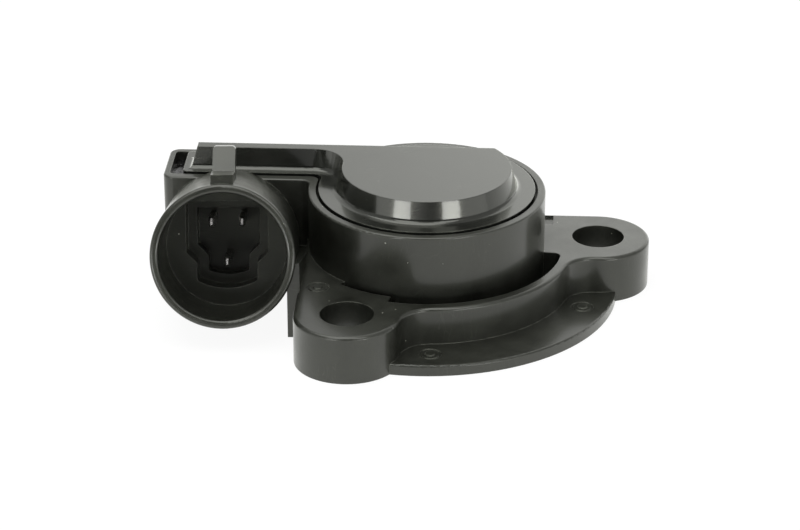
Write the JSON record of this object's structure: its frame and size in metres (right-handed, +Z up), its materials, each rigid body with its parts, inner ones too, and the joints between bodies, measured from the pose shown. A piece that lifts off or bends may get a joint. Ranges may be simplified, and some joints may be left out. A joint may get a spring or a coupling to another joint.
{
  "type": "throttle position sensor",
  "caption": "Rotary throttle position sensor: round cup with a raised cover, side arm with a keyed plug socket, flange with screw ears, and a sprung rotor driven from below.",
  "frame": {"origin": "on the rotor's axis, in the plane of the mounting face", "axes": "+Z up from the mounting face to the cover, +X towards the right screw ear's side, -Y towards the plug socket's mouth"},
  "size_m": [0.072, 0.048, 0.0249],
  "materials": {
    "housing": "satin black glass-filled moulding",
    "cover": "gloss black moulding",
    "rotor": "natural satin moulding",
    "seal": "matt black rubber",
    "spring": "drawn steel wire",
    "wiper": "bright spring bronze",
    "element": "printed board, satin",
    "terminals": "tin-plated, bright",
    "sealant": "cured black resin"
  },
  "bodies": {
    "housing": {"housing": "housing", "cover": "cover", "resistor_element": "element", "terminal_signal": "terminals", "terminal_ground": "terminals", "terminal_supply": "terminals", "sealant": "sealant", "return_spring": "spring"},
    "rotor": {"rotor": "rotor", "rotor_seal": "seal", "wiper": "wiper"}
  },
  "joints": [
    {"name": "rotor_turn", "type": "hinge", "parent": "housing", "child": "rotor", "pos_m": [0, 0, 0], "axis": [0, 0, 1], "range_deg": [0, 100], "stiffness_Nm_per_rad": 0.01, "springref_deg": -34.38, "deforming": ["return_spring"]}
  ]
}
